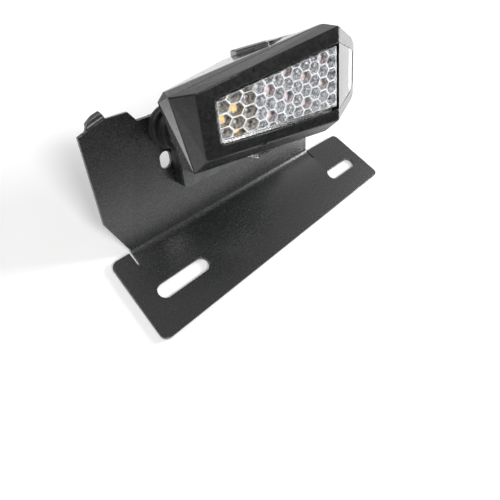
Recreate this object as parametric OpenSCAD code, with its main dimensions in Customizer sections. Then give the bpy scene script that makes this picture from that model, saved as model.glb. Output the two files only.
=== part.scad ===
// Tail tidy: folded steel bracket with a slotted plate bar and an upright
// panel that carries a prow shaped tail lamp with a honeycomb reflector.
// Millimetres. Origin at the centre of the two plate slots on the front face
// of the bar, X along the bar, +Y towards the fold, +Z out of the bar face.

/* [Plate bar] */
// Length of the bar along X
bar_length = 200; // [160:1:240]
// Width of the bar across Y
bar_width = 46; // [36:1:60]
// Thickness of the folded sheet
sheet_t = 2; // [1.5:0.1:3]
// Corner radius of the bar
bar_corner_r = 4; // [1:0.5:8]
// Distance between the centres of the two slots
slot_spacing = 148; // [120:1:180]
// End to end length of a slot
slot_length = 31; // [12:1:40]
// Width of a slot
slot_width = 8; // [5:0.5:10]
// Distance from the slot line to the middle of the bar
slot_to_middle = 3.4; // [0:0.1:8]

/* [Upright panel] */
// Fold angle of the panel out of the bar plane
fold_angle = 60.7; // [30:0.1:90]
// Inside radius of the fold
fold_r = 5; // [2:0.5:10]
// Left side of the fold
neck_left = -88; // [-100:0.5:-60]
// Right side of the panel
panel_right = 60.9; // [40:0.1:90]
// Left side of the panel above the flare
panel_left = -97; // [-100:0.5:-70]
// Height where the flare ends
flare_top = 21.4; // [10:0.2:35]
// Height of the left corner
corner_top = 65.6; // [50:0.2:80]
// Height of the raised step
step_top = 69.8; // [55:0.2:85]
// Height of the long top edge
panel_top = 64.9; // [50:0.2:80]
// Relief cut beside the fold
fold_relief = 1; // [0.5:0.1:3]
// Centre of the tail slot along X
tail_slot_x = -58.3; // [-80:0.1:-40]
// Centre of the tail slot up the panel
tail_slot_u = 40.2; // [20:0.1:60]
// Width of the tail slot
tail_slot_width = 6.4; // [4:0.1:10]
// Height of the tail slot
tail_slot_height = 9.2; // [6:0.1:16]

/* [Ear] */
// Length of the ear fold
ear_length = 12.4; // [8:0.1:20]
// Angle the ear is rolled back
ear_angle = 70; // [20:1:90]
// Inside radius of the ear roll
ear_r = 1.2; // [1:0.1:6]
// Flat length past the roll
ear_flat = 1.5; // [0.5:0.1:12]
// Radius of the rounded ear outline
ear_outline_r = 14.2; // [8:0.1:20]

/* [Lamp front] */
// Height of the front ridge
ridge_height = 42.4; // [30:0.2:60]
// Foot of the ridge up the panel
ridge_foot_u = 56; // [30:0.5:80]
// Foot of the ridge out of the panel
ridge_foot_n = 63.8; // [40:0.2:80]
// Backward lean of the lamp front
lamp_lean = 2.57; // [0:0.1:10]
// Sweep of each wing
wing_sweep = 24.3; // [10:0.1:40]
// Length of each wing face
wing_length = 66.5; // [40:0.5:90]
// Top of the wing end
wing_end_top = 25.4; // [15:0.1:40]
// Bottom of the wing end
wing_end_bottom = -4.5; // [-12:0.1:0]
// Height of the crease across each wing
crease_rise = 1; // [0:0.1:3]
// Depth of the bezel behind the face
bezel_depth = 8; // [5:0.5:14]
// Wall of the bezel and of the housing
wall = 2.2; // [1.2:0.1:4]
// Thickness of the bezel face
face_t = 3; // [2:0.1:5]

/* [Lens and reflector] */
// Clearance of the lens in its window
lens_clearance = 0.15; // [0.05:0.05:0.5]
// Thickness of the lens face
lens_t = 1.6; // [1:0.1:3]
// Wall of the lens skirt
lens_wall = 1; // [0.6:0.1:1.6]
// Gap between the lens and the honeycomb
comb_gap = 0.3; // [0.1:0.1:0.8]
// Flange of the lens behind the face
lens_flange = 2; // [1:0.1:4]
// Thickness of the lens flange
flange_t = 1.4; // [0.8:0.1:3]
// Thickness of the lens seal
seal_t = 0.6; // [0.3:0.1:1.5]
// Depth of the honeycomb behind the lens flange
comb_depth = 1.5; // [1:0.5:10]
// Height between cells in a column
cell_row = 5.75; // [4:0.05:8]
// Width between columns of the inner cells
cell_column = 4.45; // [3:0.05:8]
// Width between columns of the outer cells
outer_column = 6.1; // [3:0.1:8]
// Rise of the cell rows towards the ridge, for each millimetre along a wing
cell_slope = 0.145; // [0:0.005:0.2]
// Wall between cells
cell_wall = 0.7; // [0.4:0.1:1.5]
// Thickness of the circuit boards
board_t = 1.6; // [0.8:0.1:2.4]
// Side of a square diode
led_side = 3; // [2:0.1:4]
// Height of a diode
led_height = 1.2; // [0.6:0.1:3]

/* [Lamp mounting] */
// Distance from the middle to each stud
stud_x = 54; // [30:0.5:60]
// Height of the studs up the panel
stud_u = 57.5; // [40:0.5:70]
// Diameter of the studs
stud_d = 6; // [4:0.5:8]
// Clearance round a stud in the panel
stud_clearance = 0.3; // [0.1:0.1:1]
// Radius of the damper foot
damper_r = 11; // [8:0.5:14]
// Height of the damper
damper_height = 12; // [8:0.5:18]
// Half width of the pad and plate
plate_half = 54.8; // [40:0.2:60]
// Lower edge of the pad and plate
plate_bottom = 24; // [15:0.5:40]
// Upper edge of the pad and plate
plate_top = 66; // [50:0.5:80]
// Thickness of the rubber pad
pad_t = 6; // [2:0.5:10]
// Distance of the housing back from the panel
housing_back = 20; // [14:0.5:30]
// Diameter of the cable hole in the panel
cable_hole_d = 12; // [8:0.5:20]

/* [Hidden] */
$fn = 64;
bend_y = bar_width / 2 + slot_to_middle;
fold_run = fold_r * tan(fold_angle / 2);
ear_x = -95;
ear_u = 66.3;
ear_tilt = 16.4;
ear_root = 0.3;
bezel_back = -bezel_depth;
seal_back = -face_t - seal_t;
flange_back = seal_back - flange_t;
comb_back = flange_back - comb_depth;
board_back = comb_back - board_t;
rim_length = wing_length + 5;
rim_slant = 5;
rim_top_ridge = ridge_height + 1.9;
rim_top_end = wing_end_top - 1.2;
rim_bottom_ridge = -6.5;
rim_bottom_end = -11.8;
plate_face = pad_t + sheet_t;
nut_h = 5;
nut_across = 10;
washer_t = 1.6;
spring_t = 1.5;
cable_u = 50;
plate_screw_x = 26;
plate_screw_u = [46, 58];
light_half = 32;
light_depth = 12;
light_drop = 5;
light_rise = 5;
light_u = 45.7;
light_n = 33;
light_tilt = 11;
comb_front = -lens_t - comb_gap;
cell_rim = 0.3;
outer_s = 56.1;
inner_s = outer_s - 2 * outer_column - (outer_column + cell_column) / 2;
cell_v = 10.98;
low_led_rise = 0.95;
lamp_reach = 2 * rim_length;
lens_edge = lens_clearance + lens_wall;
middle_gap = 0.1;
crease_x = 38.3;
crease_width = 0.5;
crease_lean = 0.1;
bezel_crease = [-2.2, 32];
lens_crease = [4.2, 25.8];
hand = [-1, 1];

// Window of a wing, grown by g, in the plane of the wing face
function window_points(g) = [
    [-6, 5.9 - g], [-6, 36.9 + g], [56.4, 22.55 + g], [58.9 + g * 0.6, 20.9 + g * 0.6],
    [59.5 + g, 19.2], [59.5 + g, 3.9], [59.1 + g * 0.6, 2.6 - g * 0.6], [57.5, 1.9 - g]];

// Outline of a wing face, shrunk by g
function face_points(g) = [
    [-6, 0.4 + g], [-6, ridge_height + 1.54 - g],
    [wing_length - g, wing_end_top - g], [wing_length - g, wing_end_bottom + g]];

// Outline of the bezel rim, shrunk by g
function rim_points(g) = [
    [-6, rim_bottom_ridge + 0.45 + g], [-6, rim_top_ridge + 1.58 - g],
    [rim_length + rim_slant - g, rim_top_end - g], [rim_length - g, rim_bottom_end + g]];

// Outline of the flat back of the housing, shrunk by g
function back_points(g) = [
    [-62.5 + g, 43 + g], [62.5 - g, 43 + g], [69 - g, 76.5 - g * 0.4],
    [65.5 - g * 0.4, 80 - g], [30, 86.5 - g], [-30, 86.5 - g],
    [-65.5 + g * 0.4, 80 - g], [-69 + g, 76.5 - g * 0.4]];

// Six sided cell with its points along the wing, sheared by the slope of the rows
function cell_points(column, row, gap) = let(a = column / 1.5 - gap * 0.58, h = (row - gap) / 2)
    [for (p = [[a, 0], [a / 2, h], [-a / 2, h], [-a, 0], [-a / 2, -h], [a / 2, -h]])
        [p[0], p[1] - p[0] * cell_slope]];

// Middle of a cell in an outer column, counted from the wing end
function outer_cell(i, j) = let(s = outer_s - outer_column * i)
    [s, cell_v - s * cell_slope + cell_row * (j + ((i + 1) % 2) / 2)];

// Middle of a cell in an inner column, counted from the outer columns
function inner_cell(i, j) = let(s = inner_s - cell_column * i)
    [s, cell_v - s * cell_slope + cell_row * (j + (i % 2) / 2)];

module on_panel()
    translate([0, bend_y, 0])
    rotate([fold_angle, 0, 0])
    children();

module on_lamp()
    on_panel()
    translate([0, ridge_foot_u, ridge_foot_n])
    rotate([-lamp_lean, 0, 0])
    children();

module on_wing(side)
    on_lamp()
    mirror([side < 0 ? 1 : 0, 0, 0])
    rotate([0, wing_sweep, 0])
    children();

// Seat of the plate light on the underside of the lamp
module on_light()
    on_panel()
    translate([0, light_u, light_n])
    rotate([-light_tilt, 0, 0])
    children();

module half_space(side)
    on_lamp()
    translate([side < 0 ? -lamp_reach : 0, -lamp_reach, -lamp_reach])
    cube([lamp_reach, 2 * lamp_reach, 2 * lamp_reach]);

// Other half of the lamp, with a hair of this one so that the two never touch
module beyond_middle(side)
    on_lamp()
    translate([side < 0 ? -middle_gap : middle_gap - lamp_reach, -lamp_reach, -lamp_reach])
    cube([lamp_reach, 2 * lamp_reach, 2 * lamp_reach]);

// Flat slab parallel to a wing face, cut at the middle of the lamp
module wing_slab(side, low, high, points)
    intersection() {
        on_wing(side)
            translate([0, 0, low])
            linear_extrude(high - low)
            polygon(points);
        half_space(side);
    }

// Thin bar under the crease of a wing, between two heights
module crease_bar(side, bottom, top)
    on_wing(side)
    translate([0, 0, -1])
    linear_extrude(1 + crease_rise)
    polygon([for (p = [[0, bottom], [crease_width, bottom], [crease_width, top], [0, top]])
        [crease_x + p[0] + p[1] * crease_lean, p[1]]]);

module round_plate(x0, y0, x1, y1, r, t) {
    translate([x0 + r, y0, 0])
        cube([x1 - x0 - 2 * r, y1 - y0, t]);
    translate([x0, y0 + r, 0])
        cube([x1 - x0, y1 - y0 - 2 * r, t]);
    for (x = [x0 + r, x1 - r])
        for (y = [y0 + r, y1 - r])
            translate([x, y, 0])
                cylinder(r = r, h = t);
}

module slot_cut(length, width, depth) {
    translate([-(length - width) / 2, -width / 2, -depth])
        cube([length - width, width, 3 * depth]);
    for (s = hand)
        translate([s * (length - width) / 2, 0, -depth])
            cylinder(d = width, h = 3 * depth);
}

module ear_frame()
    on_panel()
    translate([ear_x, ear_u, -sheet_t])
    rotate([0, 0, ear_tilt])
    children();

// Profile of a sheet that lies flat, rolls by an angle and runs on flat
function rolled_sheet(start, r, t, angle, run, steps) = concat(
    [[start, 0]],
    [for (i = [0 : steps]) [r * sin(angle * i / steps), r - r * cos(angle * i / steps)]],
    [[r * sin(angle) + run * cos(angle), r - r * cos(angle) + run * sin(angle)],
        [(r + t) * sin(angle) + run * cos(angle), r - (r + t) * cos(angle) + run * sin(angle)]],
    [for (i = [steps : -1 : 0])
        [(r + t) * sin(angle * i / steps), r - (r + t) * cos(angle * i / steps)]],
    [[start, -t]]);

// The ear is a hair thinner than the panel, so that its root lies inside it
module ear()
    intersection() {
        ear_frame()
            translate([0, ear_root, 0.05])
            rotate([-90, 0, -90])
            mirror([1, 0, 0])
            linear_extrude(ear_length - 0.3)
            polygon(rolled_sheet(-ear_root - 1.5, ear_r, sheet_t - 0.1, ear_angle, ear_flat, 10));
        ear_frame()
            translate([ear_length - 0.9, 4 - ear_outline_r, -20])
            cylinder(r = ear_outline_r, h = 40);
    }

// Bar, fold and panel as one folded strip, cut to the outline of the panel
module folded_strip()
    difference() {
        translate([panel_left, bend_y - fold_run, 0])
            rotate([90, 0, 90])
            linear_extrude(panel_right - panel_left)
            polygon(rolled_sheet(-12, fold_r, sheet_t, fold_angle, step_top + 6, 16));
        translate([-130, bend_y - fold_run - 20, -3 * sheet_t])
            cube([130 + neck_left, fold_run * 1.5 + 20, 5 * sheet_t]);
        on_panel()
            translate([0, 0, -4 * sheet_t])
            linear_extrude(7 * sheet_t)
            polygon([[-130, -10], [neck_left, -10], [neck_left, 0.9],
                [panel_left, flare_top], [-130, flare_top]]);
        on_panel()
            translate([0, 0, -4 * sheet_t])
            linear_extrude(7 * sheet_t)
            polygon([[-130, corner_top], [panel_left, corner_top], [ear_x, ear_u],
                [ear_x + ear_length * cos(ear_tilt), step_top], [-72.8, step_top],
                [-69.2, panel_top], [panel_right - 2, panel_top],
                [panel_right + 1, panel_top - 3], [130, panel_top - 3],
                [130, 130], [-130, 130]]);
    }

module bracket()
    color("#17181a")
    difference() {
        union() {
            difference() {
                translate([0, 0, -sheet_t])
                    round_plate(-bar_length / 2, bend_y - bar_width, bar_length / 2, bend_y,
                        bar_corner_r, sheet_t);
                translate([neck_left - fold_relief, bend_y - 8, -2 * sheet_t])
                    cube([panel_right - neck_left + 2 * fold_relief, 12, 4 * sheet_t]);
            }
            folded_strip();
            ear();
        }
        for (s = hand)
            translate([s * slot_spacing / 2, 0, 0])
                slot_cut(slot_length, slot_width, 2 * sheet_t);
        on_panel() {
            translate([tail_slot_x, tail_slot_u, 0])
                rotate([0, 0, 90])
                slot_cut(tail_slot_height, tail_slot_width, 2 * sheet_t);
            for (s = hand)
                translate([s * stud_x, stud_u, -2 * sheet_t])
                    cylinder(d = stud_d + 2 * stud_clearance, h = 3 * sheet_t);
            translate([0, cable_u, -2 * sheet_t])
                cylinder(d = cable_hole_d, h = 3 * sheet_t);
        }
    }

module bezel_half(side)
    difference() {
        hull() {
            wing_slab(side, -1, 0, face_points(0));
            intersection() {
                crease_bar(side, bezel_crease[0], bezel_crease[1]);
                half_space(side);
            }
            wing_slab(side, bezel_back, bezel_back + 1, rim_points(0));
        }
        hull() {
            wing_slab(side, -face_t - 1, -face_t, face_points(wall));
            wing_slab(side, bezel_back - 1, bezel_back + 0.5, rim_points(wall));
        }
        wing_slab(side, -face_t - 4, 4, window_points(0));
    }

module lamp_bezel()
    color("#1b1c1e")
    union() {
        bezel_half(-1);
        bezel_half(1);
    }

// Hull between the bezel rim, shrunk by g, and the flat back, shrunk by inset
module shell_form(g, front, back, inset)
    hull() {
        for (s = hand)
            wing_slab(s, bezel_back - 1, front, rim_points(g));
        on_panel()
            translate([0, 0, back])
            linear_extrude(1)
            polygon(back_points(inset));
    }

module lamp_housing()
    color("#202124")
    difference() {
        union() {
            difference() {
                shell_form(0, bezel_back, housing_back, 0);
                shell_form(wall, bezel_back + 0.5, housing_back + wall, 2.8 * wall);
            }
            on_panel() {
                translate([0, 0, plate_face])
                    round_plate(-41, 38, 41, 72, 4, housing_back - plate_face + 0.5);
                for (s = hand)
                    translate([s * stud_x, stud_u, damper_height])
                        cylinder(r = 8.5, h = housing_back + 6 - damper_height);
                hull() {
                    translate([-27, 84, housing_back + 1])
                        cube([54, 6, 4]);
                    translate([-20, 86, housing_back + 16])
                        cube([40, 8, 3]);
                }
            }
            intersection() {
                for (s = hand)
                    for (p = [[14, 22], [58, 17]])
                        on_wing(s)
                            translate([p[0], p[1], board_back - 60])
                            cylinder(r = 2.5, h = 60);
                shell_form(0.5, bezel_back, housing_back + 0.5, 0.5);
            }
        }
        on_panel() {
            translate([0, 0, plate_face + 3])
                round_plate(-38, 41, 38, 69, 3, housing_back - plate_face);
            for (s = hand) {
                translate([s * stud_x, stud_u, damper_height - 1])
                    cylinder(d = stud_d, h = housing_back + 3 - damper_height);
                for (u = plate_screw_u)
                    translate([s * plate_screw_x, u, plate_face - 1])
                        cylinder(d = 3, h = 6);
            }
            translate([0, cable_u, plate_face - 1])
                cylinder(d = cable_hole_d - 4, h = 6);
        }
        on_light() {
            translate([-light_half - 1.2, -15, -light_depth / 2 - 1.2])
                cube([2 * light_half + 2.4, 15, light_depth + 2.4]);
            translate([-light_half + 0.8, -5, -light_depth / 2 + 0.8])
                cube([2 * light_half - 1.6, 12, light_depth - 1.6]);
        }
    }

// Face, skirt and flange of the lens over one wing, hollow behind the face
module lens_half(side)
    difference() {
        union() {
            hull() {
                wing_slab(side, seal_back, 0, window_points(-lens_clearance));
                intersection() {
                    crease_bar(side, lens_crease[0], lens_crease[1]);
                    half_space(side);
                }
            }
            wing_slab(side, flange_back, seal_back, window_points(lens_flange));
        }
        wing_slab(side, flange_back - 1, -lens_t, window_points(-lens_edge));
    }

module lens()
    color("#dfe4e8")
    union() {
        lens_half(-1);
        lens_half(1);
    }

module lens_seal()
    color("#0c0c0d")
    difference() {
        for (s = hand)
            wing_slab(s, seal_back, -face_t, window_points(lens_flange));
        for (s = hand)
            wing_slab(s, seal_back - 1, -face_t + 1, window_points(0.1));
    }

// Holes of the honeycomb in the plane of a wing
module cells()
    intersection() {
        polygon(window_points(-lens_edge - comb_gap - cell_rim));
        union() {
            for (i = [0 : 2])
                for (j = [0 : 5])
                    translate(outer_cell(i, j))
                        polygon(cell_points(outer_column, cell_row, cell_wall));
            for (i = [0 : 8])
                for (j = [-1 : 6])
                    translate(inner_cell(i, j))
                        polygon(cell_points(cell_column, cell_row, cell_wall));
        }
    }

module reflector(side)
    difference() {
        union() {
            wing_slab(side, comb_back, flange_back, window_points(1));
            wing_slab(side, comb_back, comb_front, window_points(-lens_edge - comb_gap));
        }
        on_wing(side)
            translate([0, 0, comb_back - 1])
            linear_extrude(comb_front - comb_back + 2)
            cells();
        beyond_middle(side);
    }

module reflector_left()
    color("#e3e6e8")
    reflector(-1);

module reflector_right()
    color("#e3e6e8")
    reflector(1);

module circuit_board(side)
    difference() {
        wing_slab(side, board_back, comb_back, window_points(0.5));
        beyond_middle(side);
    }

module circuit_board_left()
    color("#e8ece8")
    circuit_board(-1);

module circuit_board_right()
    color("#e8ece8")
    circuit_board(1);

module led_at(side, middle)
    on_wing(side)
    translate([middle[0] - led_side / 2, middle[1] - led_side / 2, comb_back])
    cube([led_side, led_side, led_height]);

module tail_leds()
    color("#d8342a")
    for (side = hand)
        for (i = [1, 3, 5, 7])
            for (j = i % 4 == 1 ? [0, 2] : [1, 3])
                led_at(side, inner_cell(i, j));

module indicator_leds(side) {
    led_at(side, outer_cell(0, 1));
    led_at(side, outer_cell(1, 0) + [0, low_led_rise]);
    led_at(side, outer_cell(1, 2));
}

module indicator_leds_left()
    color("#f2a32c")
    indicator_leds(-1);

module indicator_leds_right()
    color("#f2a32c")
    indicator_leds(1);

module plate_light_lens()
    color("#e6eaee")
    on_light()
    difference() {
        union() {
            translate([-light_half, -light_drop, -light_depth / 2])
                cube([2 * light_half, light_drop - 0.5, light_depth]);
            translate([-light_half - 1, -1.5, -light_depth / 2 - 1])
                cube([2 * light_half + 2, 1.5, light_depth + 2]);
            translate([-light_half + 1, -1, -light_depth / 2 + 1])
                cube([2 * light_half - 2, light_rise + 1, light_depth - 2]);
        }
        translate([-light_half + 3, -light_drop + 2, -light_depth / 2 + 3])
            cube([2 * light_half - 6, light_drop + light_rise, light_depth - 6]);
    }

module plate_light_board()
    color("#dfe6df")
    on_light()
    translate([-light_half + 1, light_rise, -light_depth / 2 + 1])
    cube([2 * light_half - 2, board_t, light_depth - 2]);

module plate_light_leds()
    color("#fff4c8")
    on_light()
    for (x = [-20, 0, 20])
        translate([x - led_side / 2, light_rise - led_height, -led_side / 2])
            cube([led_side, led_height, led_side]);

// Outline shared by the rubber pad and the lamp plate
module mount_outline(low, thick)
    on_panel()
    difference() {
        translate([0, 0, low])
            round_plate(-plate_half, plate_bottom, plate_half, plate_top, 3, thick);
        for (s = hand)
            translate([s * stud_x, stud_u, low - 1])
                cylinder(r = damper_r + 1, h = thick + 2);
        translate([0, cable_u, low - 1])
            cylinder(d = cable_hole_d + 5, h = thick + 2);
        for (s = hand)
            for (u = plate_screw_u)
                translate([s * plate_screw_x, u, low - 1])
                    cylinder(d = low > 1 ? 3.4 : 8, h = thick + 2);
    }

module lamp_plate()
    color("#3a3c3f")
    mount_outline(pad_t, sheet_t);

module lamp_pad()
    color("#0e0e0f")
    mount_outline(0, pad_t);

module damper(side)
    on_panel()
    translate([side * stud_x, stud_u, 0])
    difference() {
        union() {
            cylinder(r = damper_r, h = 5);
            translate([0, 0, 5])
                cylinder(r = damper_r - 2.5, h = 3);
            translate([0, 0, 8])
                cylinder(r = damper_r - 1, h = damper_height - 8);
        }
        translate([0, 0, -1])
            cylinder(d = stud_d + 0.2, h = damper_height + 2);
    }

module damper_left()
    color("#101011")
    damper(-1);

module damper_right()
    color("#101011")
    damper(1);

module lamp_studs()
    color("#b9bcc0")
    on_panel()
    for (s = hand)
        translate([s * stud_x, stud_u, -16])
            cylinder(d = stud_d, h = 16 + housing_back + 2);

module flat_washers()
    color("#c3c6ca")
    on_panel()
    for (s = hand)
        translate([s * stud_x, stud_u, -sheet_t - washer_t])
            difference() {
                cylinder(r = 6, h = washer_t);
                translate([0, 0, -1])
                    cylinder(d = stud_d + 0.4, h = washer_t + 2);
            }

module spring_washers()
    color("#b0b3b8")
    on_panel()
    for (s = hand)
        translate([s * stud_x, stud_u, -sheet_t - washer_t - spring_t])
            difference() {
                cylinder(r = 4.9, h = spring_t);
                translate([0, 0, -1])
                    cylinder(d = stud_d + 0.2, h = spring_t + 2);
                translate([0, -0.5, -1])
                    cube([8, 1, spring_t + 2]);
            }

module lamp_nuts()
    color("#b9bcc0")
    on_panel()
    for (s = hand)
        translate([s * stud_x, stud_u, -sheet_t - washer_t - spring_t - nut_h])
            difference() {
                cylinder(d = nut_across / cos(30), h = nut_h, $fn = 6);
                translate([0, 0, -1])
                    cylinder(d = stud_d, h = nut_h + 2);
            }

module cable_grommet()
    color("#0f0f10")
    on_panel()
    translate([0, cable_u, 0])
    difference() {
        union() {
            translate([0, 0, -sheet_t - 2.5])
                cylinder(d = cable_hole_d + 4, h = 2.5);
            translate([0, 0, -sheet_t])
                cylinder(d = cable_hole_d, h = sheet_t);
            cylinder(d = cable_hole_d + 4, h = 2.5);
        }
        translate([0, 0, -10])
            cylinder(d = 6, h = 20);
    }

module plate_screws()
    color("#a9acb0")
    on_panel()
    for (s = hand)
        for (u = plate_screw_u)
            translate([s * plate_screw_x, u, pad_t - 2.4]) {
                cylinder(d = 6, h = 2.4);
                cylinder(d = 3, h = 2.4 + sheet_t + 3);
            }

bracket();
lamp_bezel();
lamp_housing();
lens();
lens_seal();
reflector_left();
reflector_right();
circuit_board_left();
circuit_board_right();
tail_leds();
indicator_leds_left();
indicator_leds_right();
plate_light_lens();
plate_light_board();
plate_light_leds();
lamp_plate();
lamp_pad();
damper_left();
damper_right();
lamp_studs();
flat_washers();
spring_washers();
lamp_nuts();
cable_grommet();
plate_screws();
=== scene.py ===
"""Looks of a tail tidy: a folded steel bracket that carries a prow shaped tail lamp.

Shapes are worked out in millimetres, in the frames of the upright panel, of the lamp and of its
two wings, and are turned into metres in the frame of the whole part when a mesh is made. In the
names, u runs up the panel and n out of it, s runs along a wing from the ridge and v up the wing.
"""

import math

import bmesh
import bpy
import numpy as np
from mathutils import Matrix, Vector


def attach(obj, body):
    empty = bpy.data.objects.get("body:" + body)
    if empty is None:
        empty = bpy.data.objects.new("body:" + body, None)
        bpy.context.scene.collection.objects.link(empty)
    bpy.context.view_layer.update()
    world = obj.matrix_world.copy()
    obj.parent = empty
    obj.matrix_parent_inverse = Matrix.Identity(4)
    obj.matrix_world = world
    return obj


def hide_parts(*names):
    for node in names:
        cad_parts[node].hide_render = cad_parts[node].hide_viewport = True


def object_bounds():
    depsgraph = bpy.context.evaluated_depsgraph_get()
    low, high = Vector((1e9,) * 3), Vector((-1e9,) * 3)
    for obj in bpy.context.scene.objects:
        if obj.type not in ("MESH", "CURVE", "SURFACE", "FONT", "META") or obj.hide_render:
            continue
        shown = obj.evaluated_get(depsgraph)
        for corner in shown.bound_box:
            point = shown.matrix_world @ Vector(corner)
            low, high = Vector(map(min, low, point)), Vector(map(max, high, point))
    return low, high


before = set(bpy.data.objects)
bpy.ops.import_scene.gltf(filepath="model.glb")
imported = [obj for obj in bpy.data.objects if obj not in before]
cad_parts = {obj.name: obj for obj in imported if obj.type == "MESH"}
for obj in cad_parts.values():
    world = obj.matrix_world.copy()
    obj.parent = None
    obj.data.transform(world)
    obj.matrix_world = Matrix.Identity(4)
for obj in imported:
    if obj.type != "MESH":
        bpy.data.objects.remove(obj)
cad_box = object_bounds()

# Lengths are in millimetres and angles in degrees, unless a comment says otherwise
MM = 0.001
TURN = 2 * np.pi
SIDES = {-1: "left", 1: "right"}

# Meshes: gaps that are welded on new surfaces and on copies of solids, the angle within which
# faces of a copy count as flat, the angle at which two edges count as narrow, and the steps of
# a round piece and of a rounded corner
SEAM_GAP = 0.002
COPY_GAP = 0.003
FLAT_WITHIN = 0.6
NARROW = 20
ROUND_STEPS = 72
CORNER_STEPS = 4

# Bracket: the fold's angle, and the line on which the faces of bar and panel would meet
FOLD_ANGLE = 60.7
BEND_Y = 26.4

# Lamp: foot of its front ridge, lean of the ridge against the panel, and sweep of the wings
RIDGE_FOOT_U = 56.0
RIDGE_FOOT_N = 63.8
LAMP_LEAN = 2.57
WING_SWEEP = 24.3

# Plate light: its place and tilt, the underside of its board and its diodes on it
LIGHT_U = 45.7
LIGHT_N = 33.0
LIGHT_TILT = 11.0
LIGHT_BOARD = 5.0
LIGHT_DIODES_X = (-20, 0, 20)

# Honeycomb: its front and the circuit board's face against the wing's front plane, how far its
# edge lies inside the window, and half the gap between the wings at the ridge
COMB_FRONT = -1.9
BOARD_FACE = -6.5
COMB_EDGE = 1.47
MIDDLE_GAP = 0.12

# Cells: height of the first row at the ridge, slope and pitch of the rows, and the pitch, number
# and first place of the wide outer columns and of the inner ones
CELL_V = 10.98
CELL_SLOPE = 0.145
ROW_PITCH = 5.75
OUTER_PITCH = 6.1
OUTER_COLUMNS = 3
OUTER_ROWS = range(6)
OUTER_S = 56.1
INNER_PITCH = 4.45
INNER_COLUMNS = 9
INNER_ROWS = range(-1, 7)
INNER_S = OUTER_S - (OUTER_COLUMNS - 1) * OUTER_PITCH - (OUTER_PITCH + INNER_PITCH) / 2
SMALLEST_CELL = 0.8
EDGE_STEPS = 4

# Cells (column, row) in front of a diode: amber ones in the outer columns, each with the height
# of its diode above the cell's middle, and red ones in the inner columns
AMBER_CELLS = {(0, 1): 0.0, (1, 0): 0.95, (1, 2): 0.0}
RED_CELLS = tuple((i, j) for i in (1, 3, 5, 7) for j in ((0, 2) if i % 4 == 1 else (1, 3)))

# Rings of a cell: share of its outline, depth below the front, and how round the ring is
CELL_RIM = ((0.996, 0.14, 0.0), (0.985, 0.04, 0.0), (0.955, 0.0, 0.0), (0.93, 0.05, 0.05),
            (0.91, 0.16, 0.1))
CELL_BOWL = ((0.91, 0.16, 0.1), (0.875, 0.5, 0.2), (0.82, 0.95, 0.35), (0.76, 1.45, 0.5),
             (0.67, 1.9, 0.7), (0.57, 2.2, 0.85), (0.5, 2.35, 0.95), (0.46, 2.6, 1.0),
             (0.46, 4.6, 1.0))
CELL_BACK = ((0.46, 4.6, 1.0), (0.996, 4.6, 0.0), (0.996, 0.14, 0.0))
OPEN_BOWL = ((0.91, 0.16, 0.1), (0.88, 0.6, 0.15), (0.86, 1.4, 0.2), (0.85, 2.6, 0.2),
             (0.85, 4.6, 0.2))
OPEN_BACK = ((0.85, 4.6, 0.2), (0.996, 4.6, 0.0), (0.996, 0.14, 0.0))

# Rings of a diode: radius, height above its board, and power of the corners, where 2 is a circle
DIODE_RINGS = ((1.5, 0.0, 8), (1.5, 0.5, 8), (1.42, 0.58, 8), (1.2, 0.6, 2), (1.12, 0.8, 2),
               (0.9, 1.02, 2), (0.5, 1.16, 2), (0.02, 1.2, 2))
DIODE_STEPS = 24

# Studs: place on the panel, radius, ends, the narrowed tip and the thread behind the panel
STUD_X = 54.0
STUD_U = 57.5
STUD_R = 3.0
STUD_FRONT = 22.0
STUD_BACK = -16.0
STUD_STEPS = 40
TIP_LENGTH = 0.8
TIP_FALL = 0.5
THREAD_PITCH = 1.0
THREAD_DEPTH = 0.32
THREAD_END = -2.0
THREAD_FADE = 0.5
THREAD_STEP = 0.125

# Nuts: ends, width across the flats, and the chamfer as (distance from the end, radius)
NUT_BACK = -10.1
NUT_FRONT = -5.1
NUT_ACROSS = 10.0
NUT_CHAMFER = ((0, 4.85), (0.25, 5.2), (0.5, 5.6), (0.75, 6.0))

# Turned rubber pieces: corners of the profile as (radius, height, rounding)
FOOT_PROFILE = ((3.15, 0, 0), (11, 0, 0.5), (11, 2.1, 0.2), (10.5, 2.4, 0.1), (10.5, 2.7, 0.1),
                (11, 3.0, 0.2), (11, 5, 0.7), (8.5, 5, 0.5), (8.5, 8, 0.5), (10, 8, 0.6),
                (10, 12, 0.7), (3.15, 12, 0.3))
GROMMET_PROFILE = ((3, -4.5, 0.8), (8, -4.5, 1.2), (8, -2, 0.3), (6, -2, 0), (6, 0, 0),
                   (8, 0, 0.3), (8, 2.5, 1.2), (3, 2.5, 0.8))
CABLE_U = 50.0

# Range in which most of a noise pattern lies
NOISE_LOW = 0.35
NOISE_HIGH = 0.65

# Table: half its width in metres, and the strength added where it is seen as background
TABLE_HALF = 3.0
TABLE_LIFT = 0.18

# Room: strength, direction of its bright side, and its brightness against the share of the half
# turn towards that side
ROOM_STRENGTH = 1.1
BRIGHT_SIDE = (0.6, 0.79, 0.1)
ROOM_LEVELS = ((0.0, 0.06), (0.33, 0.06), (0.6, 0.2), (0.85, 0.32), (0.98, 1.0))

# Lamps: name, place in metres, side in metres and power in watts, and the point they face
SOFT_LAMPS = (("key_softbox", (1.15, -0.3, 0.45), 0.35, 17.0),
              ("front_softbox", (-0.17, -0.6, 0.8), 0.3, 5.2),
              ("top_softbox", (-0.35, 0.5, 0.85), 0.4, 2.5))
LAMP_AIM = (0.0, 0.0, 0.03)

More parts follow.
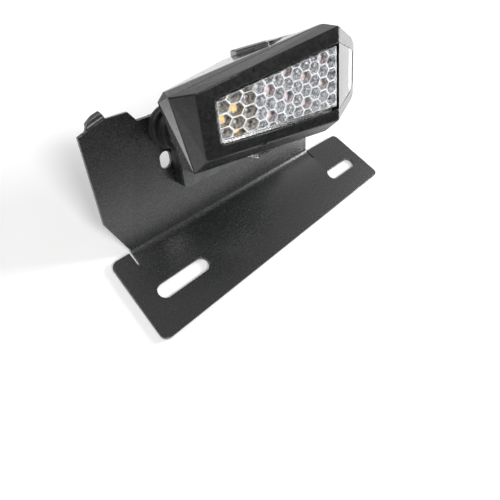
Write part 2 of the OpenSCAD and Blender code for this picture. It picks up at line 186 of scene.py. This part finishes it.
# Camera: place, the directions right, down and forward of the photo, focal length and frame in
# pixels, and the pixel row of the optical axis
CAMERA_PLACE = (-149.7, -48.5, 179.8)
CAMERA_RIGHT = (0.6865, -0.6651, 0.2939)
CAMERA_DOWN = (-0.3788, -0.6722, -0.6361)
CAMERA_FORWARD = (0.6206, 0.3254, -0.7134)
FOCAL_PIXELS = 376.17
FRAME_PIXELS = 500
AXIS_ROW = 172
SENSOR_WIDTH = 36


def shift(x, y, z):
    """Moving matrix."""
    matrix = np.eye(4)
    matrix[:3, 3] = (x, y, z)
    return matrix


def turn(axis, degrees):
    """Turning matrix about one axis, by the right hand rule."""
    return np.array(Matrix.Rotation(math.radians(degrees), 4, axis))


PANEL = shift(0, BEND_Y, 0) @ turn("X", FOLD_ANGLE)
LAMP = PANEL @ shift(0, RIDGE_FOOT_U, RIDGE_FOOT_N) @ turn("X", -LAMP_LEAN)
LIGHT = PANEL @ shift(0, LIGHT_U, LIGHT_N) @ turn("X", -LIGHT_TILT)
WING = {side: LAMP @ np.diag([side, 1, 1, 1]) @ turn("Y", WING_SWEEP) for side in SIDES}
STUD = {side: PANEL @ shift(side * STUD_X, STUD_U, 0) for side in SIDES}


def placed(points, place):
    """Points in millimetres carried by a matrix into the frame of the part, in metres."""
    flat = np.asarray(points, float).reshape(-1, 3)
    return (flat @ place[:3, :3].T + place[:3, 3]) * MM


def in_scene(name, data):
    """A new object of the scene that carries the data."""
    thing = bpy.data.objects.new(name, data)
    bpy.context.scene.collection.objects.link(thing)
    return thing


def seat(piece, nodes):
    """The piece rides on the one body and stands for its nodes."""
    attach(piece, "root")
    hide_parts(*nodes)


def outward(mesh):
    """Welds the seams of a mesh and turns its faces outwards."""
    bm = bmesh.new()
    bm.from_mesh(mesh)
    bmesh.ops.remove_doubles(bm, verts=bm.verts, dist=SEAM_GAP * MM)
    bmesh.ops.recalc_face_normals(bm, faces=bm.faces)
    bm.to_mesh(mesh)
    bm.free()


def add_piece(name, parts, finishes, nodes, smooth_angle=35.0):
    """One mesh from parts, each (points in metres, faces, finish number), seated on the body."""
    points, faces, numbers, start = [], [], [], 0
    for part_points, part_faces, number in parts:
        points.append(part_points)
        faces += [[int(i) + start for i in face] for face in part_faces]
        numbers += [number] * len(part_faces)
        start += len(part_points)
    mesh = bpy.data.meshes.new(name)
    mesh.from_pydata(np.concatenate(points).tolist(), [], faces)
    mesh.polygons.foreach_set("material_index", numbers)
    piece = in_scene(name, mesh)
    for finish in finishes:
        mesh.materials.append(finish)
    outward(mesh)
    mesh.shade_smooth()
    mesh.set_sharp_from_angle(angle=math.radians(smooth_angle))
    seat(piece, nodes)
    return piece


def grid_faces(rows, columns):
    """Quads between rows of points, each row a ring."""
    row, column = np.meshgrid(np.arange(rows - 1), np.arange(columns), indexing="ij")
    after = (column + 1) % columns
    quads = np.stack([row * columns + column, row * columns + after,
                      (row + 1) * columns + after, (row + 1) * columns + column], -1)
    return quads.reshape(-1, 4).tolist()


def looped_faces(rows, columns):
    """Quads between rings, and from the last ring back to the first."""
    last = (rows - 1) * columns
    seam = [[last + c, last + (c + 1) % columns, (c + 1) % columns, c] for c in range(columns)]
    return grid_faces(rows, columns) + seam


def capped_faces(rows, columns):
    """Quads between rings, and one face across the first and one across the last ring."""
    ends = [list(range(columns))[::-1], list(range((rows - 1) * columns, rows * columns))]
    return grid_faces(rows, columns) + ends


def ring_points(radius, angle, height):
    """Points round an axis, a row for each height: (r cos a, r sin a, h)."""
    return np.stack([radius * np.cos(angle), radius * np.sin(angle), height + 0 * angle], -1)


def rounded_profile(profile):
    """Outline through (radius, height, rounding) corners. At each, a curve leaves the side before
    it and joins the side after it at the rounding's distance from the corner. With t from 0 to 1
    its points are (1 - t) squared times its start, 2 t (1 - t) times the corner and t squared
    times its end, added up."""
    corners = np.array(profile, float)[:, :2]
    t = np.linspace(0, 1, CORNER_STEPS + 1)[:, None]
    out = []
    for i, (_, _, rounding) in enumerate(profile):
        if rounding <= 0:
            out.append(corners[i:i + 1])
            continue
        before = corners[i - 1] - corners[i]
        after = corners[(i + 1) % len(corners)] - corners[i]
        start = corners[i] + before / np.linalg.norm(before) * rounding
        end = corners[i] + after / np.linalg.norm(after) * rounding
        out.append((1 - t) ** 2 * start + 2 * t * (1 - t) * corners[i] + t ** 2 * end)
    return np.concatenate(out)


def takes_radius(edge, angle, shortest):
    """Whether an edge is sharp, and meets at its ends no short edge and none at a narrow angle."""
    if len(edge.link_faces) != 2 or edge.calc_face_angle(0.0) < angle:
        return False
    for end in edge.verts:
        way = edge.other_vert(end).co - end.co
        for other in end.link_edges:
            if other.calc_length() < shortest:
                return False
            if other is edge:
                continue
            if way.angle(other.other_vert(end).co - end.co) < math.radians(NARROW):
                return False
    return True


def rounded_copy(node, name, radius, finish, sharp=30.0, segments=2, bevel_from=25.0,
                 clean=0.0):
    """A welded copy of a solid of the frame, whose edges that turn by more than bevel_from get a
    small radius. With a clean length, those that meet a shorter edge, or another edge at a narrow
    angle, stay as they are. Edges that turn by more than sharp keep a crease in the shading."""
    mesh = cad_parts[node].data.copy()
    mesh.name = name
    mesh.materials.clear()
    mesh.materials.append(finish)
    piece = in_scene(name, mesh)
    bm = bmesh.new()
    bm.from_mesh(mesh)
    bmesh.ops.remove_doubles(bm, verts=bm.verts, dist=COPY_GAP * MM)
    bmesh.ops.dissolve_degenerate(bm, edges=bm.edges, dist=COPY_GAP * MM)
    bmesh.ops.dissolve_limit(bm, angle_limit=math.radians(FLAT_WITHIN), verts=bm.verts,
                             edges=bm.edges)
    if clean:
        weight = bm.edges.layers.float.new("bevel_weight_edge")
        for edge in bm.edges:
            edge[weight] = float(takes_radius(edge, math.radians(bevel_from), clean * MM))
    bm.to_mesh(mesh)
    bm.free()
    mesh.shade_smooth()
    mesh.set_sharp_from_angle(angle=math.radians(sharp))
    bevel = piece.modifiers.new("edge_radius", "BEVEL")
    bevel.width = radius * MM
    bevel.segments = segments
    bevel.limit_method = "WEIGHT" if clean else "ANGLE"
    bevel.angle_limit = math.radians(bevel_from)
    bevel.harden_normals = True
    bevel.use_clamp_overlap = False
    bevel.miter_outer = "MITER_ARC"
    seat(piece, [node])
    return piece


def repaint(node, finish):
    """A solid of the frame keeps its shape and gets the finish."""
    for material_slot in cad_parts[node].material_slots:
        material_slot.material = finish


class Finish:
    """A procedural finish: one shader fed by patterns on object coordinates. Further sockets of
    the shader are given by name, with _ for each space."""

    def __init__(self, name, colour, roughness, metallic=0.0, **sockets):
        self.material = bpy.data.materials.new(name)
        self.material.use_nodes = True
        self.tree = self.material.node_tree
        self.tree.nodes.clear()
        self.output = self.node("ShaderNodeOutputMaterial")
        self.shader = self.node("ShaderNodeBsdfPrincipled")
        self.link(self.shader.outputs["BSDF"], self.output.inputs["Surface"])
        self.shader.inputs["Base Color"].default_value = (*colour, 1)
        self.shader.inputs["Roughness"].default_value = roughness
        self.shader.inputs["Metallic"].default_value = metallic
        for socket, value in sockets.items():
            self.shader.inputs[socket.replace("_", " ")].default_value = value
        self.coordinates = self.node("ShaderNodeTexCoord")
        self.normal = None

    def node(self, kind):
        """A new node of the finish."""
        return self.tree.nodes.new(kind)

    def link(self, source, target):
        """A wire from an output to an input."""
        self.tree.links.new(source, target)

    def millimetres(self):
        """Object coordinates in millimetres."""
        mapping = self.node("ShaderNodeMapping")
        mapping.inputs["Scale"].default_value = [1 / MM] * 3
        self.link(self.coordinates.outputs["Object"], mapping.inputs["Vector"])
        return mapping.outputs["Vector"]

    def noise(self, size, detail):
        """Cloudy pattern whose patches are about size millimetres wide."""
        noise = self.node("ShaderNodeTexNoise")
        noise.inputs["Scale"].default_value = 1 / size
        noise.inputs["Detail"].default_value = detail
        self.link(self.millimetres(), noise.inputs["Vector"])
        return noise.outputs["Fac"]

    def specks(self, size):
        """Pattern of round specks, from 0 in the middle of each, about size millimetres apart."""
        cells = self.node("ShaderNodeTexVoronoi")
        cells.inputs["Scale"].default_value = 1 / size
        self.link(self.millimetres(), cells.inputs["Vector"])
        return cells.outputs["Distance"]

    def spread(self, source, low, high, start=NOISE_LOW, end=NOISE_HIGH):
        """The pattern's range from start to end, spread from low to high."""
        span = self.node("ShaderNodeMapRange")
        limits = {"From Min": start, "From Max": end, "To Min": low, "To Max": high}
        for socket, value in limits.items():
            span.inputs[socket].default_value = value
        self.link(source, span.inputs["Value"])
        return span.outputs["Result"]

    def colours(self, source, first, second, start=NOISE_LOW, end=NOISE_HIGH):
        """Base colour that runs from first to second while the pattern goes from start to end."""
        mix = self.node("ShaderNodeMix")
        mix.data_type = "RGBA"
        colour_sockets = [s for s in mix.inputs if s.type == "RGBA"]
        colour_sockets[0].default_value = (*first, 1)
        colour_sockets[1].default_value = (*second, 1)
        self.link(self.spread(source, 0, 1, start, end), mix.inputs["Factor"])
        result = [s for s in mix.outputs if s.type == "RGBA"][0]
        self.link(result, self.shader.inputs["Base Color"])
        return self

    def sheen_range(self, source, low, high):
        """Roughness that runs from low to high with the pattern."""
        self.link(self.spread(source, low, high), self.shader.inputs["Roughness"])
        return self

    def relief(self, source, depth, strength):
        """Bumps of the pattern, depth millimetres high, on top of those already there."""
        bump = self.node("ShaderNodeBump")
        bump.inputs["Distance"].default_value = depth * MM
        bump.inputs["Strength"].default_value = strength
        self.link(source, bump.inputs["Height"])
        if self.normal is not None:
            self.link(self.normal, bump.inputs["Normal"])
        self.normal = bump.outputs["Normal"]
        self.link(self.normal, self.shader.inputs["Normal"])
        return self

    def lets_lamps_through(self):
        """Shadow rays pass, so that what lies behind the clear plastic is lit."""
        path = self.node("ShaderNodeLightPath")
        clear = self.node("ShaderNodeBsdfTransparent")
        mix = self.node("ShaderNodeMixShader")
        self.link(path.outputs["Is Shadow Ray"], mix.inputs[0])
        self.link(self.shader.outputs["BSDF"], mix.inputs[1])
        self.link(clear.outputs["BSDF"], mix.inputs[2])
        self.link(mix.outputs["Shader"], self.output.inputs["Surface"])
        return self


def powder_coat():
    """Satin black powder coat: fine orange peel with specks."""
    f = Finish("powder_coat", (0.011, 0.0115, 0.012), 0.3, IOR=2.0)
    f.colours(f.noise(1.1, 4), (0.006, 0.0065, 0.007), (0.014, 0.015, 0.015))
    f.sheen_range(f.noise(0.8, 3), 0.24, 0.32)
    f.relief(f.noise(0.7, 2), 0.035, 0.5)
    f.relief(f.specks(0.5), 0.015, 0.5)
    return f.material


def bezel_gloss():
    """Polished black moulding with faint flow marks and handling dust."""
    f = Finish("bezel_plastic", (0.014, 0.014, 0.015), 0.26, IOR=1.6)
    f.colours(f.noise(6, 4), (0.012, 0.012, 0.013), (0.019, 0.0195, 0.02))
    f.sheen_range(f.noise(2, 5), 0.22, 0.32)
    f.relief(f.noise(6, 1), 0.012, 0.3)
    return f.material


def housing_satin():
    """Black moulding with a fine spark eroded grain under a bright, smooth surface."""
    f = Finish("housing_plastic", (0.018, 0.0185, 0.019), 0.2, IOR=2.8, Coat_Weight=1.0,
               Coat_Roughness=0.12, Coat_IOR=2.0)
    f.colours(f.noise(8, 3), (0.015, 0.0155, 0.016), (0.024, 0.025, 0.025))
    f.sheen_range(f.noise(2, 4), 0.2, 0.28)
    f.relief(f.noise(0.35, 2), 0.006, 0.3)
    return f.material


def clear_plastic(name, roughness, grain):
    """Clear moulded plastic that shadow rays pass."""
    f = Finish(name, (0.97, 0.98, 0.99), roughness, IOR=1.49, Transmission_Weight=1.0)
    f.sheen_range(f.noise(6, 3), roughness, roughness + 0.03)
    f.relief(f.noise(grain, 1), 0.01, 0.2)
    return f.lets_lamps_through().material


def painted_highlight_rim():
    """Polished silvered edge of a cell, painted near white, far lighter than the silvered bowls,
    as a painted highlight that shows as a white line.
    """
    f = Finish("painted_highlight_rim", (0.97, 0.97, 0.97), 0.22, metallic=0.2)
    f.colours(f.noise(1.5, 2), (0.9, 0.9, 0.91), (0.98, 0.98, 0.98))
    f.sheen_range(f.noise(0.9, 3), 0.15, 0.3)
    return f.material


def silvered_plastic():
    """Vacuum silvered bowl of a cell: grey metal, dimpled, with its colour mottled from dark to
    pale grey as painted reflection.
    """
    f = Finish("silvered_plastic", (0.6, 0.6, 0.61), 0.25, metallic=0.6)
    # Painted reflection: patches of dark and pale grey in the colour of the silvering
    f.colours(f.noise(1.1, 3), (0.38, 0.38, 0.39), (0.8, 0.8, 0.81))
    f.sheen_range(f.noise(0.9, 4), 0.14, 0.36)
    f.relief(f.noise(0.9, 2), 0.14, 0.8)
    return f.material


def smoked_plastic():
    """Dark brownish bowl of the outer cells."""
    f = Finish("smoked_plastic", (0.25, 0.23, 0.21), 0.3, IOR=1.5)
    f.colours(f.noise(1.3, 3), (0.13, 0.12, 0.108), (0.45, 0.41, 0.37))
    f.sheen_range(f.noise(0.9, 3), 0.18, 0.4)
    f.relief(f.noise(0.9, 2), 0.08, 0.6)
    return f.material


def board_mask():
    """White solder mask, mottled by tracks and pads with fairly sharp edges."""
    f = Finish("board", (0.8, 0.82, 0.8), 0.35)
    f.colours(f.noise(1.2, 2), (0.34, 0.34, 0.33), (0.86, 0.87, 0.85), 0.44, 0.56)
    f.relief(f.noise(0.8, 2), 0.03, 0.6)
    return f.material


def diode(name, dark, pale, glow=0.0):
    """Tinted resin of a diode, in patches of two tones. With a glow it also shines in its pale
    colour, as painted light.
    """
    f = Finish(name, pale, 0.18, IOR=1.5)
    f.colours(f.noise(0.8, 2), dark, pale)
    f.relief(f.noise(0.5, 1), 0.02, 0.3)
    if glow:
        f.shader.inputs["Emission Color"].default_value = (*pale, 1)
        f.shader.inputs["Emission Strength"].default_value = glow
    return f.material


def plate_paint():
    """Smooth black paint on the steel plate behind the lamp, coloured dark grey, lighter than the
    other black coats, as painted reflection.
    """
    # The grey base colour is painted reflection of the pale room on black gloss paint
    f = Finish("plate_paint", (0.07, 0.073, 0.073), 0.28, IOR=1.6)
    f.colours(f.noise(4, 4), (0.055, 0.058, 0.058), (0.09, 0.094, 0.094))
    f.sheen_range(f.noise(2.5, 4), 0.24, 0.36)
    f.relief(f.noise(1.6, 3), 0.02, 0.4)
    return f.material


def black_rubber(name, roughness, grain):
    """Moulded black rubber with a dusty bloom."""
    f = Finish(name, (0.02, 0.02, 0.021), roughness, IOR=1.5)
    f.colours(f.noise(4, 5), (0.014, 0.014, 0.015), (0.034, 0.034, 0.034))
    f.sheen_range(f.noise(1.5, 3), roughness - 0.1, roughness + 0.08)
    f.relief(f.noise(grain, 3), 0.02, 0.5)
    return f.material


def zinc_steel():
    """Zinc plated steel, mottled, with dull spots."""
    f = Finish("zinc_steel", (0.62, 0.63, 0.65), 0.32, metallic=1.0)
    f.colours(f.noise(1.4, 4), (0.5, 0.5, 0.5), (0.72, 0.73, 0.76))
    f.sheen_range(f.noise(0.7, 4), 0.24, 0.42)
    f.relief(f.noise(0.5, 3), 0.012, 0.5)
    return f.material


POWDER = powder_coat()
BEZEL = bezel_gloss()
HOUSING = housing_satin()
CLEAR = clear_plastic("clear_plastic", 0.015, 9)
FROSTED = clear_plastic("frosted_plastic", 0.18, 0.7)
# Rims of the cells: silvered plastic painted near white as a highlight
HIGHLIGHT_RIM = painted_highlight_rim()
SILVER = silvered_plastic()
SMOKED = smoked_plastic()
BOARD = board_mask()
# The red and amber diodes get a painted glow, as if lit, though they are no lamps
RED = diode("red_diode", (0.7, 0.54, 0.51), (0.88, 0.78, 0.76), glow=0.08)
AMBER = diode("amber_diode", (0.8, 0.42, 0.08), (1.0, 0.72, 0.3), glow=0.4)
WHITE = diode("white_diode", (0.85, 0.7, 0.3), (0.95, 0.9, 0.7))
PLATE = plate_paint()
RUBBER = black_rubber("pad_rubber", 0.55, 0.6)
SEAL = black_rubber("seal_rubber", 0.6, 0.3)
ZINC = zinc_steel()


def window_outline(grow):
    """Window of a wing: its corners (s, v), anticlockwise, with the sides moved out by grow. The
    two slanted corners at the wing's end move by 0.6 of that along both axes."""
    slant = grow * 0.6
    return np.array([[-6, 5.9 - grow], [57.5, 1.9 - grow], [59.1 + slant, 2.6 - slant],
                     [59.5 + grow, 3.9], [59.5 + grow, 19.2], [58.9 + slant, 20.9 + slant],
                     [56.4, 22.55 + grow], [-6, 36.9 + grow]])


def convex(outline):
    """The anticlockwise outline without the corners at which it turns inwards, where the cross
    product of the sides before and after the corner isn't above 0."""
    before = outline - np.roll(outline, 1, axis=0)
    after = np.roll(outline, -1, axis=0) - outline
    turning = before[:, 0] * after[:, 1] - before[:, 1] * after[:, 0]
    return outline[turning > 0]


def clipped(outline, window):
    """The part of a convex outline inside a convex, anticlockwise window, or None. Each side of
    the window keeps the corners on its left, and the points at which the outline crosses it."""
    for a, b in zip(window, np.roll(window, -1, axis=0)):
        arm = outline - a
        side = (b - a)[0] * arm[:, 1] - (b - a)[1] * arm[:, 0]
        following, next_side = np.roll(outline, -1, axis=0), np.roll(side, -1)
        kept = []
        for p, q, s, t in zip(outline, following, side, next_side):
            if s >= 0:
                kept.append(p)
            if s * t < 0:
                kept.append(p + (q - p) * s / (s - t))
        if len(kept) < 3:
            return None
        outline = np.array(kept)
    return outline


def along_edges(outline, count):
    """Points at count even steps along each edge of a closed outline."""
    share = np.arange(count)[None, :, None] / count
    following = np.roll(outline, -1, axis=0)
    return (outline[:, None] * (1 - share) + following[:, None] * share).reshape(-1, 2)


def hexagon(pitch):
    """Cell of the honeycomb with its points along the wing. It reaches two thirds of the column
    pitch along the wing and half the row pitch up it, and is sheared by the slope of the rows."""
    a, h = pitch / 1.5, ROW_PITCH / 2
    corners = np.array([[a, 0], [a / 2, h], [-a / 2, h], [-a, 0], [-a / 2, -h], [a / 2, -h]])
    corners[:, 1] -= CELL_SLOPE * corners[:, 0]
    return corners


def cell_middle(s, row):
    """Middle (s, v) of a cell, where v falls along the wing by the slope of the rows."""
    return s, CELL_V - CELL_SLOPE * s + ROW_PITCH * row


def outer_cell(i, j):
    """Middle of a cell in outer column i, counted from the wing's end. Even columns stand half a
    row higher."""
    return cell_middle(OUTER_S - OUTER_PITCH * i, j + (i + 1) % 2 / 2)


def inner_cell(i, j):
    """Middle of a cell in inner column i, counted from the outer columns. Odd columns stand half
    a row higher."""
    return cell_middle(INNER_S - INNER_PITCH * i, j + i % 2 / 2)


def cell_places():
    """(middle of the cell, column pitch, whether a diode shines through) of each cell."""
    for i in range(OUTER_COLUMNS):
        for j in OUTER_ROWS:
            yield outer_cell(i, j), OUTER_PITCH, (i, j) in AMBER_CELLS
    for i in range(INNER_COLUMNS):
        for j in INNER_ROWS:
            yield inner_cell(i, j), INNER_PITCH, (i, j) in RED_CELLS


def cell_band(outline, rings, side):
    """Surface between the rings of a cell. At each ring the outline shrinks towards its middle to
    the ring's share, and each radius moves towards the least one by the ring's roundness. Nothing
    crosses the plane between the wings."""
    share, depth, roundness = (np.array(column)[:, None] for column in zip(*rings))
    middle = outline.mean(0)
    arm = outline - middle
    radius = np.linalg.norm(arm, axis=1)
    ring_radius = share * (radius + roundness * (radius.min() - radius))
    flat = middle + arm / radius[:, None] * ring_radius[..., None]
    z = COMB_FRONT - depth + 0 * ring_radius
    lean = math.tan(math.radians(WING_SWEEP))
    along = np.maximum(flat[..., 0], MIDDLE_GAP - z * lean)
    points = np.stack([along, flat[..., 1], z], -1)
    return placed(points, WING[side]), grid_faces(len(rings), len(outline))


def comb_piece(name, side, node):
    """Honeycomb of a wing: each cell is a ring shaped cup with a rounded rim painted near white as
    a highlight, a bowl and a throat over the board. The bowls of the outer columns are smoked, and
    a cell with a diode is open down to the board."""
    rim, silver, smoked = range(3)
    window = convex(window_outline(-COMB_EDGE))
    parts = []
    for spot, pitch, with_diode in cell_places():
        outline = clipped(hexagon(pitch) + spot, window)
        if outline is None or np.ptp(outline, axis=0).min() < SMALLEST_CELL:
            continue
        outline = along_edges(outline, EDGE_STEPS)
        inside = smoked if pitch == OUTER_PITCH else silver
        bowl, back = (OPEN_BOWL, OPEN_BACK) if with_diode else (CELL_BOWL, CELL_BACK)
        for rings, finish in ((CELL_RIM, rim), (bowl, inside), (back, silver)):
            parts.append((*cell_band(outline, rings, side), finish))
    return add_piece(name, parts, [HIGHLIGHT_RIM, SILVER, SMOKED], [node],
                     smooth_angle=50)


def diode_part(place):
    """Square package with a low dome. At each ring the reach is the radius over the root, by the
    corner power, of the sum of the cosine and the sine raised to that power."""
    angle = np.linspace(0, TURN, DIODE_STEPS, endpoint=False)
    radius, height, power = (np.array(column)[:, None] for column in zip(*DIODE_RINGS))
    reach = (abs(np.cos(angle)) ** power + abs(np.sin(angle)) ** power) ** (-1 / power)
    points = ring_points(radius * reach, angle, height)
    return placed(points, place), capped_faces(len(DIODE_RINGS), DIODE_STEPS), 0


def diode_row(name, places, finish, node):
    """One piece from a diode at each place."""
    return add_piece(name, [diode_part(place) for place in places], [finish], [node])


def wing_spot(side, spot, rise=0.0):
    """Place on the circuit board of a wing, under the middle of a cell or a little above it."""
    return WING[side] @ shift(spot[0], spot[1] + rise, BOARD_FACE)


def lamp_diodes():
    """Red diodes behind the inner cells, amber ones behind the outer cells, and white ones that
    look down from the plate light's board."""
    tail = [wing_spot(side, inner_cell(*cell)) for side in SIDES for cell in RED_CELLS]
    diode_row("tail_diodes", tail, RED, "tail_leds")
    for side, hand in SIDES.items():
        spots = [wing_spot(side, outer_cell(*cell), rise) for cell, rise in AMBER_CELLS.items()]
        diode_row(f"indicator_diodes_{hand}", spots, AMBER,
                  f"indicator_leds_{hand}")
    under = [LIGHT @ shift(x, LIGHT_BOARD, 0) @ turn("X", 90) for x in LIGHT_DIODES_X]
    diode_row("plate_diodes", under, WHITE, "plate_light_leds")


def stud_part(side):
    """Threaded stud: the radius falls by a triangle wave of height over pitch minus turn, which
    fades into a plain shank in front of the nut, and narrows at the tip. Flat faces close it."""
    height = np.arange(STUD_BACK, STUD_FRONT + THREAD_STEP / 2, THREAD_STEP)[:, None]
    angle = np.linspace(0, TURN, STUD_STEPS, endpoint=False)
    wave = abs(((height / THREAD_PITCH - angle / TURN) % 1) * 2 - 1)
    threaded = np.clip((THREAD_END - height) / THREAD_FADE, 0, 1)
    full = np.clip((height - STUD_BACK) / TIP_LENGTH, 0, 1)
    radius = STUD_R - THREAD_DEPTH * wave * threaded - TIP_FALL * (1 - full)
    points = ring_points(radius, angle, height)
    return placed(points, STUD[side]), capped_faces(len(height), STUD_STEPS), 0


def nut_part(side):
    """Hexagon nut: at each turn the radius is the lesser of the hexagon's, which is half its width
    over the cosine of the turn from the middle of a flat, and of a cone's that chamfers both ends.
    The bore closes the ring."""
    half_side = math.radians(30)
    angle = np.linspace(0, TURN, ROUND_STEPS, endpoint=False) + half_side
    hexagonal = NUT_ACROSS / 2 / np.cos((angle - half_side) % (2 * half_side) - half_side)
    rings = [(NUT_BACK, STUD_R)]
    rings += [(NUT_BACK + rise, limit) for rise, limit in NUT_CHAMFER]
    rings += [(NUT_FRONT - rise, limit) for rise, limit in NUT_CHAMFER[::-1]]
    rings += [(NUT_FRONT, STUD_R)]
    height, limit = (np.array(column)[:, None] for column in zip(*rings))
    points = ring_points(np.minimum(hexagonal, limit), angle, height)
    return placed(points, STUD[side]), looped_faces(len(rings), ROUND_STEPS), 0


def turned_rubber(name, profile, place, node):
    """Rubber piece turned from its rounded profile."""
    outline = rounded_profile(profile)
    angle = np.linspace(0, TURN, ROUND_STEPS, endpoint=False)
    points = ring_points(outline[:, :1], angle, outline[:, 1:])
    part = placed(points, place), looped_faces(len(outline), ROUND_STEPS), 0
    return add_piece(name, [part], [RUBBER], [node])


rounded_copy("bracket", "folded_bracket", 0.35, POWDER, sharp=25, clean=0.02)
rounded_copy("lamp_bezel", "prow_bezel", 0.6, BEZEL, sharp=1.0, segments=3,
             bevel_from=12)
rounded_copy("lamp_housing", "rear_shell", 0.5, HOUSING, sharp=6.0,
             segments=3, clean=1.2)
rounded_copy("plate_light_lens", "frosted_window", 0.35, FROSTED, sharp=5.0)
rounded_copy("lamp_plate", "backing_plate", 0.3, PLATE, sharp=25)
rounded_copy("lamp_pad", "rubber_pad", 0.3, RUBBER, sharp=25)
rounded_copy("flat_washers", "plain_washers", 0.2, ZINC, sharp=25)
rounded_copy("spring_washers", "split_washers", 0.2, ZINC, sharp=25)
rounded_copy("plate_screws", "backing_screws", 0.25, ZINC, sharp=25)
for side, hand in SIDES.items():
    comb_piece(f"honeycomb_{hand}", side, f"reflector_{hand}")
lamp_diodes()
add_piece("threaded_studs", [stud_part(side) for side in SIDES], [ZINC],
          ["lamp_studs"])
add_piece("hexagon_nuts", [nut_part(side) for side in SIDES], [ZINC],
          ["lamp_nuts"], smooth_angle=25)
for side, hand in SIDES.items():
    turned_rubber(f"rubber_foot_{hand}", FOOT_PROFILE, STUD[side], f"damper_{hand}")
turned_rubber("cable_grommet_lips", GROMMET_PROFILE, PANEL @ shift(0, CABLE_U, 0),
              "cable_grommet")
repaint("lens_seal", SEAL)
repaint("lens", CLEAR)
for board in ("circuit_board_left", "circuit_board_right", "plate_light_board"):
    repaint(board, BOARD)


def table_top():
    """White table under the bar, a flat sheet far wider than the view. It glows a little where
    the camera sees it, straight, in a reflection or through clear plastic."""
    z = cad_box[0].z
    corners = ((-1, -1), (1, -1), (1, 1), (-1, 1))
    mesh = bpy.data.meshes.new("table")
    mesh.from_pydata([(x * TABLE_HALF, y * TABLE_HALF, z) for x, y in corners], [], [(0, 1, 2, 3)])
    table = in_scene("table", mesh)
    f = Finish("table_white", (0.9, 0.9, 0.9), 0.6)
    f.colours(f.noise(60, 2), (0.88, 0.88, 0.875), (0.9, 0.9, 0.9))
    path = f.node("ShaderNodeLightPath")
    seen = path.outputs["Is Camera Ray"]
    for kind in ("Is Glossy Ray", "Is Transmission Ray"):
        either = f.node("ShaderNodeMath")
        either.operation = "MAXIMUM"
        f.link(seen, either.inputs[0])
        f.link(path.outputs[kind], either.inputs[1])
        seen = either.outputs[0]
    lift = f.node("ShaderNodeMath")
    lift.operation = "MULTIPLY"
    lift.inputs[1].default_value = TABLE_LIFT
    f.link(seen, lift.inputs[0])
    glow = f.node("ShaderNodeEmission")
    f.link(lift.outputs[0], glow.inputs["Strength"])
    both = f.node("ShaderNodeAddShader")
    f.link(f.shader.outputs["BSDF"], both.inputs[0])
    f.link(glow.outputs["Emission"], both.inputs[1])
    f.link(both.outputs["Shader"], f.output.inputs["Surface"])
    mesh.materials.append(f.material)


def soft_lamp(name, place, size, watts):
    """Square area lamp that faces the part, seen in reflections but not by the camera. Its back
    points away from the aim and its side lies level."""
    data = bpy.data.lights.new(name, "AREA")
    data.size = size
    data.energy = watts
    lamp = in_scene(name, data)
    lamp.location = place
    lamp.visible_camera = False
    back = np.array(place) - np.array(LAMP_AIM)
    back /= np.linalg.norm(back)
    side = np.cross((0, 0, 1), back)
    side /= np.linalg.norm(side)
    direction = Matrix(np.stack([side, np.cross(back, side), back], -1).tolist())
    lamp.rotation_euler = direction.to_euler()


def studio():
    """Room that is dark in front of the part and bright beyond it, with soft lamps. Its level
    follows the dot product of the direction with the bright side, through the list of levels."""
    world = bpy.data.worlds.new("pale_room")
    world.use_nodes = True
    tree = world.node_tree
    background = tree.nodes["Background"]
    coordinates = tree.nodes.new("ShaderNodeTexCoord")
    facing = tree.nodes.new("ShaderNodeVectorMath")
    facing.operation = "DOT_PRODUCT"
    facing.inputs[1].default_value = BRIGHT_SIDE
    tree.links.new(coordinates.outputs["Generated"], facing.inputs[0])
    share = tree.nodes.new("ShaderNodeMapRange")
    share.inputs["From Min"].default_value = -1.0
    tree.links.new(facing.outputs["Value"], share.inputs["Value"])
    levels = tree.nodes.new("ShaderNodeValToRGB")
    ramp = levels.color_ramp
    while len(ramp.elements) < len(ROOM_LEVELS):
        ramp.elements.new(0.5)
    for element, (position, level) in zip(ramp.elements, ROOM_LEVELS):
        element.position = position
        element.color = (level, level, level, 1)
    tree.links.new(share.outputs["Result"], levels.inputs["Fac"])
    tree.links.new(levels.outputs["Color"], background.inputs["Color"])
    background.inputs["Strength"].default_value = ROOM_STRENGTH
    bpy.context.scene.world = world
    for lamp in SOFT_LAMPS:
        soft_lamp(*lamp)


def photo_camera():
    """Camera of the photo. Its optical axis meets the frame above its middle, hence the shift."""
    data = bpy.data.cameras.new("photo_camera")
    data.sensor_width = SENSOR_WIDTH
    data.lens = FOCAL_PIXELS / FRAME_PIXELS * SENSOR_WIDTH
    data.shift_y = (AXIS_ROW - FRAME_PIXELS / 2) / FRAME_PIXELS
    data.clip_start = 10 * MM
    camera = in_scene("photo_camera", data)
    place = np.eye(4)
    place[:3, :3] = np.stack([CAMERA_RIGHT, -np.array(CAMERA_DOWN), -np.array(CAMERA_FORWARD)], -1)
    place[:3, 3] = np.array(CAMERA_PLACE) * MM
    camera.matrix_world = Matrix(place.tolist())
    bpy.context.scene.camera = camera


table_top()
studio()
photo_camera()
bpy.context.scene.view_settings.view_transform = "Standard"
